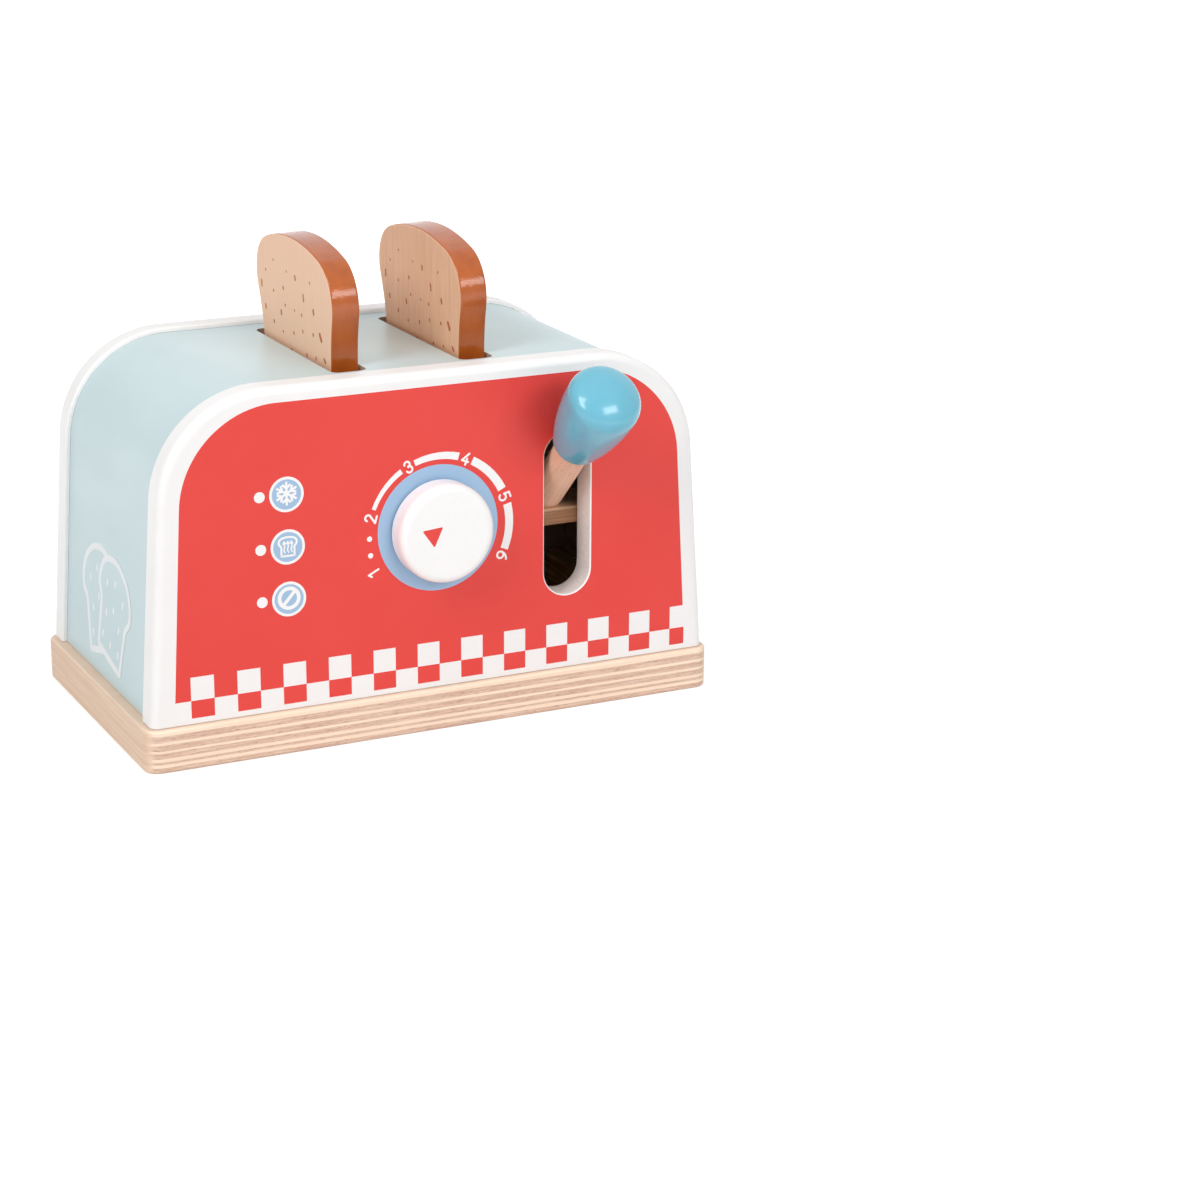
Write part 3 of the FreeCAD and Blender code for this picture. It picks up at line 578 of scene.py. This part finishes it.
# Across this plane is towards the front board, and up is up along the leaning sheet from its foot.
ON_LEFT = Matrix((
    (0, leaning, -upright, side_foot.x / MM),
    (-1, 0, 0, 0),
    (0, upright, leaning, side_foot.z / MM),
    (0, 0, 0, 1 / MM))) * MM
SLICE_SHAPE = both_sides([
    (15.6, -1.4, 2.2), (17.2, 21.5, 2.2), (21.6, 25.0, 3.0), (21.6, 38.2, 10.0), (0, 46.2, 9.0)])
CRUMBS = [(-10, 7), (0, 6.5), (10, 7), (-8.3, 17.5), (8.3, 17.5), (0, 22.3), (-10.3, 30), (10.3, 30),
          (-0.6, 34)]
DRAWN_LINE, CRUMB_HALF, CRUMB_WIDTH = 2.8, 0.8, 1.8
# The place of each slice's foot, its tilt in degrees and the thickness of its ground.
DRAWN_SLICES = {"rear": ((-5.9, 10.9), 13.0, INK * 0.5), "near": ((4.3, 10.2), -11.6, INK * 2.5)}
thin_white_ink = printed("thin_white_ink", colour(238, 241, 243), colour(232, 236, 239))

for name, ((x, foot), tilt, thick) in DRAWN_SLICES.items():
    at = Matrix.Translation((x, foot, 0)) @ Matrix.Rotation(radians(tilt), 4, "Z")
    drawing = bmesh.new()
    outline(drawing, SLICE_SHAPE)
    drawing.transform(at)
    finish_print(f"bread_ground_{name}", drawing, ON_LEFT, "case", sheet_paint, thick=thick)
    drawing = bmesh.new()
    outline(drawing, SLICE_SHAPE, DRAWN_LINE)
    for x, z in CRUMBS:
        bar(drawing, (x, z - CRUMB_HALF), (x, z + CRUMB_HALF), CRUMB_WIDTH, steps=12)
    drawing.transform(at)
    finish_print(f"bread_outline_{name}", drawing, ON_LEFT, "case", thin_white_ink, thick=thick + INK * 0.5)


# ---------------------------------------------------------------- battens
# Two lengths of bare planed pine, screwed down on the base inside the case. The foot of the bent sheet is
# glued to them.

pine = Finish("bare_pine")
rings = pine.noise(pine.place(stretch=(1, 28, 1)), 2.2, detail=3, twist=0.8)
pine.surface(
    Base_Color=pine.mix(pine.spread(rings, 0.38, 0.68), colour(233, 204, 158), colour(205, 160, 108)),
    Roughness=0.6, Normal=pine.bump(rings, 0.2, 0.1))
dress("side_batten_left", pine)
dress("side_batten_right", pine)


# ---------------------------------------------------------------- dial
# A turned knob, sprayed gloss white, with a small red pointer printed off its centre. It is glued on a beech
# spindle that runs in the front board, with a nylon washer under it and a beech disc inside.

KNOB_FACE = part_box("dial_knob")[0].y / MM
POINTER_X, POINTER_Z, POINTER_SIZE, POINTER_ROUND, POINTER_TURN = -6.76, 86.26, 5.2, 0.7, -175.0
ON_KNOB = Matrix.Translation((0, KNOB_FACE * MM, 0)) @ Matrix.Rotation(pi / 2, 4, "X") @ Matrix.Scale(MM, 4)

white_gloss = Finish("white_gloss_paint")
flow = white_gloss.noise(white_gloss.place(), 3.0, detail=2)
white_gloss.surface(
    Base_Color=white_gloss.mix(flow, colour(250, 250, 249), colour(247, 246, 245)),
    Roughness=white_gloss.spread(flow, 0.3, 0.7, 0.28, 0.34), Coat_Weight=0.2, Coat_Roughness=0.15,
    Normal=white_gloss.bump(flow, 0.05, 0.05))
dress("dial_knob", white_gloss)

drawing = bmesh.new()
triangle = bmesh.ops.create_circle(drawing, cap_ends=True, segments=3, radius=POINTER_SIZE)["verts"]
bmesh.ops.bevel(
    drawing, geom=triangle, offset=POINTER_ROUND, segments=6, profile=0.5, affect="VERTICES", material=-1)
drawing.transform(
    Matrix.Translation((POINTER_X, POINTER_Z, 0)) @ Matrix.Rotation(radians(POINTER_TURN), 4, "Z"))
finish_print("dial_pointer", drawing, ON_KNOB, "dial", red_ink)


def beech(name, centre, turn):
    """Bare beech with the grain along the piece's own Z axis, and the short brown flecks that beech has."""
    wood = Finish(name)
    grain = wood.noise(wood.place(centre, turn, (1, 1, 26)), 1.7, detail=4, rough=0.55, twist=0.4)
    fleck = wood.noise(wood.place(centre, turn, (0.5, 0.5, 3.2)), 0.9, detail=1)
    tone = wood.mix(wood.spread(grain, 0.3, 0.72), colour(240, 197, 170), colour(224, 178, 151))
    marked = wood.mix(wood.spread(fleck, 0.66, 0.74, 0.0, 0.5), tone, colour(172, 122, 94))
    return wood.surface(
        Base_Color=marked, Roughness=wood.spread(grain, 0.3, 0.7, 0.48, 0.6), Specular_IOR_Level=0.4,
        Normal=wood.bump(grain - fleck * 0.3, 0.25, 0.08))


spindle_beech = beech("beech_across", (0, 0, 0), (pi / 2, 0, 0))
dress("dial_spindle", spindle_beech)
dress("dial_retainer", spindle_beech)

nylon = Finish("natural_nylon")
cloud = nylon.noise(nylon.place(), 2.0)
nylon.surface(Base_Color=nylon.mix(cloud, colour(236, 234, 226), colour(228, 225, 216)), Roughness=0.4)
dress("dial_washer", nylon)


# ---------------------------------------------------------------- lever
# A bare beech dowel, let into the lift board, that slants out through the slot, and on its end a turned
# grip dipped in glossy blue.

LEVER_TILT, LEVER_Z = radians(46.5), 108.36
LEVER_FOOT = (LEVER_X * MM, FACE_Y * MM, LEVER_Z * MM)

dress("lever_dowel", beech("beech_slanting", LEVER_FOOT, (LEVER_TILT, 0, 0)))

blue_gloss = Finish("blue_gloss_paint")
flow = blue_gloss.noise(blue_gloss.place(LEVER_FOOT, (LEVER_TILT, 0, 0)), 4.0, detail=2)
blue_gloss.surface(
    Base_Color=blue_gloss.mix(flow, colour(106, 187, 210), colour(99, 180, 204)),
    Roughness=blue_gloss.spread(flow, 0.3, 0.7, 0.2, 0.26), Coat_Weight=0.4, Coat_Roughness=0.05,
    Normal=blue_gloss.bump(flow, 0.12, 0.1))
dress("lever_grip", blue_gloss)


# ---------------------------------------------------------------- lift board and guide blocks
# Thin bare plywood behind the lever slot, with pale faces and darker sawn edges, and the two bored blocks
# glued under it, which run on the rods. The faces are also painted lighter, as painted light on the top.

thin_ply = Finish("thin_plywood")
streaks = thin_ply.noise(thin_ply.place(stretch=(24, 1.2, 0.6)), 1.3, detail=5, rough=0.62, twist=0.5)
# The sawn edges are darker like real end grain, and the faces are painted lighter as painted light on the top
# of the lift board.
veneer_and_painted_light = thin_ply.mix(thin_ply.spread(streaks, 0.35, 0.7), colour(244, 214, 182), colour(208, 168, 132))
sawn_edge = thin_ply.mix(thin_ply.spread(streaks, 0.35, 0.7), colour(166, 122, 88), colour(136, 94, 64))
thin_ply.surface(
    Base_Color=thin_ply.mix(thin_ply.spread(abs(thin_ply.facing("Z")), 0.4, 0.8), sawn_edge, veneer_and_painted_light),
    Roughness=0.58, Specular_IOR_Level=0.35, Normal=thin_ply.bump(streaks, 0.3, 0.1))
for node in ("lift_board", "guide_block_front", "guide_block_back"):
    dress(node, thin_ply)


# ---------------------------------------------------------------- rails for the bread
# Two lengths of the same pine as the battens, glued on the lift board, with a groove along the top of each
# that a slice of bread stands in.

dress("toast_rail_left", pine)
dress("toast_rail_right", pine)


# ---------------------------------------------------------------- guide rods
# Two bare beech rods, glued upright into sockets in the base. The blocks of the lift run on them and keep it
# level.

rod_beech = beech("beech_upright", (0, 0, 0), (0, 0, 0))
dress("guide_rod_front", rod_beech)
dress("guide_rod_back", rod_beech)


# ---------------------------------------------------------------- lift springs
# Two coil springs of drawn wire round the rods, closed at both ends. They shorten as the lift goes down and
# push it up again.

SPRING_RADIUS, WIRE_RADIUS, OPEN_TURNS, CLOSED_TURNS, TURN_STEPS = 6.2, 0.6, 5, 1, 32

spring_steel = Finish("drawn_spring_wire")
drawn = spring_steel.noise(spring_steel.place(), 0.3, detail=3)
spring_steel.surface(
    Base_Color=spring_steel.mix(drawn, colour(186, 188, 192), colour(150, 152, 158)), Metallic=1.0,
    Roughness=spring_steel.spread(drawn, 0.3, 0.7, 0.25, 0.4))

for side in ("front", "back"):
    node = f"lift_spring_{side}"
    low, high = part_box(node)
    tall = (high.z - low.z) / MM
    coil = bmesh.new()
    wire = bmesh.ops.create_circle(
        coil, cap_ends=True, segments=12, radius=WIRE_RADIUS,
        matrix=Matrix.Translation((SPRING_RADIUS, 0, WIRE_RADIUS)) @ Matrix.Rotation(pi / 2, 4, "X"))
    wire_end = list(wire["verts"]) + list(wire["verts"][0].link_faces) + coil.edges[:]
    closed_rise = WIRE_RADIUS * 2.1
    open_rise = tall - WIRE_RADIUS * 2 - closed_rise * CLOSED_TURNS * 2
    for turns, rise in ((CLOSED_TURNS, closed_rise), (OPEN_TURNS, open_rise), (CLOSED_TURNS, closed_rise)):
        steps = turns * TURN_STEPS
        moved = bmesh.ops.spin(
            coil, geom=wire_end, cent=(0, 0, 0), axis=(0, 0, 1), dvec=(0, 0, rise / steps),
            angle=2 * pi * turns, steps=steps, use_merge=False, use_duplicate=False)
        wire_end = moved["geom_last"]
    bmesh.ops.recalc_face_normals(coil, faces=coil.faces[:])
    middle = (low + high) / 2
    coil.transform(Matrix.Translation((middle.x, middle.y, low.z)) @ Matrix.Scale(MM, 4))
    mesh = bpy.data.meshes.new(f"coil_{side}")
    coil.to_mesh(mesh)
    coil.free()
    for face in mesh.polygons:
        face.use_smooth = True
    mesh.materials.append(spring_steel.data)
    spring = bpy.data.objects.new(f"coil_{side}", mesh)
    bpy.context.collection.objects.link(spring)
    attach(spring, "case")
    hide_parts(node)
    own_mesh(spring)


# ---------------------------------------------------------------- slices of bread
# Sawn from beech board. The faces are bare with a few crumbs printed on, and the edge all round is dipped in
# thick caramel gloss.

SLOT_X, SLOT_Z, SLICE_SHIFT, SLICE_LEAN, SLICE_HALF, GRAIN_TILT = 27.7, 148.0, 0.4, 2.3, 6.0, 5.0
# Each crumb's place across and up, its length, width and slant.
CRUMB_MARKS = [
    (21.4, 182, 1.1, 1.1, 0), (6.6, 179.7, 1, 1, 0), (-19.6, 179.7, 1.3, 1, 10), (-3.2, 178.8, 2.6, 1.5, 3),
    (31.1, 176.2, 1.3, 1, 8), (-11.4, 172.1, 3.6, 1.3, 3), (11.4, 172, 1.7, 1.4, 12),
    (37, 169.5, 3.5, 1.3, -2), (23.2, 168.8, 1.4, 1.1, 0), (-22, 168.2, 2.8, 1.7, 10),
    (10.3, 165, 1.5, 1, -20), (-0.3, 164.8, 1.1, 1, 0), (-8.4, 164.4, 1.6, 1.1, -8),
    (15.4, 161.1, 2.6, 1.3, 4), (33.7, 160.2, 2.4, 1.1, 5), (-28.4, 159.1, 4.4, 2, 31),
    (-20.3, 158.6, 1.6, 1.3, 10), (-8.6, 157.7, 1.6, 1, 6), (24.8, 155.5, 1.8, 1.1, 12),
    (2.1, 154.9, 1.7, 0.9, 5), (14.5, 153.2, 1.1, 1, 0), (-31.7, 150.2, 2.8, 1.5, 52),
    (-22, 149.3, 1.5, 1, 35), (5.5, 147, 1.8, 1.2, 0), (-11.8, 148.6, 1.6, 1, 20), (26.5, 146, 2.2, 1.3, 0),
    (-24, 141, 1.2, 1, 0), (9, 140, 1.2, 1, 0), (-9, 137, 2, 1.2, 12), (27, 133, 2.4, 1.3, -6),
    (-24, 132, 1.3, 1, 20), (14, 126, 1.4, 1, 0), (-15, 122, 1.1, 1, 0), (-2, 117, 2.6, 1.4, 8),
    (22, 113, 1.1, 1, 0), (-26, 111, 2.2, 1.2, 25), (7, 106, 1.2, 1, 0), (-12, 103, 1.1, 1, 0)]
CRUMB_THICK = 0.03

crumb_ink = printed("crumb_ink", colour(186, 110, 70), colour(168, 90, 52), roughness=0.55)


def bread(name, centre, turn, light, dark, contrast):
    """Beech with upright grain on the two faces, and caramel gloss on what faces any other way."""
    wood = Finish(name)
    grain = wood.noise(wood.place(centre, turn, (1, 1, 20)), 3.4, detail=8, rough=0.7, twist=2.2)
    pores = wood.noise(wood.place(centre, turn, (0.4, 0.4, 5)), 0.7, detail=2)
    bare = wood.mix(wood.spread(grain, 0.36, 0.74, 0.0, contrast), light, dark)
    bare = wood.mix(wood.spread(pores, 0.62, 0.76, 0.0, 0.3 * contrast), bare, colour(176, 126, 92))
    lumps = wood.noise(wood.place(centre, turn, (1, 1, 1.6)), 1.1, detail=3, rough=0.6)
    cloud = wood.noise(wood.place(centre, turn, (1, 1, 3)), 7.0, detail=3)
    crust = wood.mix(wood.spread(cloud, 0.3, 0.7), colour(188, 95, 34), colour(172, 83, 27))
    face = wood.spread(abs(wood.facing("X")), 0.72, 0.78)
    return wood.surface(
        Base_Color=wood.mix(face, crust, bare), Roughness=wood.spread(face, 0, 1, 0.11, 0.55),
        Specular_IOR_Level=0.4, Coat_Weight=wood.spread(face, 0, 1, 0.2, 0.0), Coat_Roughness=0.16,
        Normal=wood.bump(wood.spread(face, 0, 1, 1.0, 0.3) * lumps + grain * face * 0.3, 0.6, 0.18))


# The middle of each slot, how far the crumbs lie across, the two tones of the wood and how far they part.
SLICES = {
    "left": (-SLOT_X, 0.0, colour(246, 204, 173), colour(238, 190, 156), 0.5),
    "right": (SLOT_X, -1.2, colour(240, 194, 160), colour(214, 160, 122), 0.7),
}
for side, (slot, shift, light, dark, contrast) in SLICES.items():
    x, lean = slot + SLICE_SHIFT, radians(-SLICE_LEAN)
    dress(f"toast_slice_{side}", bread(
        f"bread_{side}", (x * MM, 0, SLOT_Z * MM), (radians(GRAIN_TILT), lean, 0), light, dark, contrast))
    standing = Matrix.Translation((x, 0, SLOT_Z)) @ Matrix.Rotation(lean, 4, "Y")
    for face, way in (("outer", 0), ("inner", 180)):
        drawing = bmesh.new()
        for across, up, length, width, slant in CRUMB_MARKS:
            middle = Vector((-across - shift, up - SLOT_Z))
            half = Matrix.Rotation(radians(slant), 2) @ Vector((0, max(0.02, length - width) / 2))
            bar(drawing, middle - half, middle + half, width, steps=12)
        on_face = Matrix(((0, 0, -1, -SLICE_HALF), (-1, 0, 0, 0), (0, 1, 0, 0), (0, 0, 0, 1)))
        plane = Matrix.Scale(MM, 4) @ standing @ Matrix.Rotation(radians(way), 4, "Z") @ on_face
        finish_print(f"crumbs_{side}_{face}", drawing, plane, f"toast_{side}", crumb_ink, thick=CRUMB_THICK)


# ---------------------------------------------------------------- floor, light and camera
# A white table that keeps the toaster's shadow, soft lamps above, on the left and in front, and a long lens.
# What the camera sees beyond the table is plain white.

# Half the floor's width in metres, and the distances in millimetres at which its glow starts and is full.
FLOOR_HALF, GLOW_START, GLOW_FULL = 6.0, 200, 700
# The outputs of a Light Path node.
CAMERA_RAY, GLOSSY_RAY, TRANSMISSION_RAY = 0, 3, 6
AMBIENT = 0.36

floor_mesh = bpy.data.meshes.new("floor")
flat = bmesh.new()
bmesh.ops.create_grid(flat, x_segments=1, y_segments=1, size=FLOOR_HALF)
flat.to_mesh(floor_mesh)
flat.free()
floor = bpy.data.objects.new("floor", floor_mesh)
bpy.context.collection.objects.link(floor)
table = Finish("white_table")
seen, mirrored = [table.node("ShaderNodeLightPath", output=ray) for ray in (CAMERA_RAY, GLOSSY_RAY)]
away = table.node("ShaderNodeVectorMath", {"operation": "LENGTH"}, {0: table.place()}, output=1)
matt = table.node("ShaderNodeBsdfDiffuse", None, {"Color": (0.82, 0.82, 0.82, 1)})
glow = table.node("ShaderNodeEmission", None, {
    "Color": (1, 1, 1, 1),
    "Strength": seen.at_least(mirrored) * table.spread(away, GLOW_START, GLOW_FULL, 0.45, 1.0)})
matt_and_glow = table.node("ShaderNodeAddShader", None, {0: matt, 1: glow})
table.node("ShaderNodeOutputMaterial", None, {"Surface": matt_and_glow})
floor_mesh.materials.append(table.data)

room = Finish("studio", bpy.data.worlds)
bpy.context.scene.world = room.data
straight, mirrored, through = [
    room.node("ShaderNodeLightPath", output=ray) for ray in (CAMERA_RAY, GLOSSY_RAY, TRANSMISSION_RAY)]
white_seen = straight.at_least(mirrored).at_least(through)
sky = room.node("ShaderNodeBackground", None, {
    "Color": (1, 1, 1, 1), "Strength": AMBIENT + white_seen * (1 - AMBIENT)})
room.node("ShaderNodeOutputWorld", None, {"Surface": sky})

# Each lamp's place, width, height, power in watts, and whether it shows in gloss.
LAMPS = {
    "overhead": ((0.15, -0.35, 1.6), 1.3, 1.3, 7.5, False),
    "left_box": ((-1.68, -0.87, 1.56), 0.84, 1.26, 23.5, True),
    "right_box": ((0.48, -1.88, 1.00), 1.1, 0.5, 11.5, True),
}
for name, (place, wide, tall, power, in_gloss) in LAMPS.items():
    light = bpy.data.lights.new(name, "AREA")
    light.shape = "RECTANGLE"
    light.size, light.size_y, light.energy = wide, tall, power
    lamp = bpy.data.objects.new(name, light)
    bpy.context.collection.objects.link(lamp)
    lamp.location = place
    lamp.rotation_euler = (Vector((0, 0, 0.08)) - Vector(place)).to_track_quat("-Z", "Y").to_euler()
    lamp.visible_glossy = in_gloss

YAW, PITCH, ROLL = 0.4682, 0.3090, 0.0086
CAMERA_PLACE = (-0.4406, -1.0824, 0.4087)
SENSOR, FOCAL_SHARE = 36.0, 2869.06 / 1200

ahead = Vector((sin(YAW) * cos(PITCH), cos(YAW) * cos(PITCH), -sin(PITCH)))
level = Vector((cos(YAW), -sin(YAW), 0))
upright = level.cross(ahead)
across = cos(ROLL) * level + sin(ROLL) * upright
up = -sin(ROLL) * level + cos(ROLL) * upright
lens = bpy.data.cameras.new("camera")
lens.sensor_width = SENSOR
lens.lens = FOCAL_SHARE * SENSOR
lens.clip_start, lens.clip_end = 0.05, 20.0
camera = bpy.data.objects.new("camera", lens)
bpy.context.collection.objects.link(camera)
camera.matrix_world = Matrix.Translation(CAMERA_PLACE) @ Matrix((across, up, -ahead)).transposed().to_4x4()
bpy.context.scene.camera = camera
bpy.context.scene.view_settings.view_transform = "Standard"
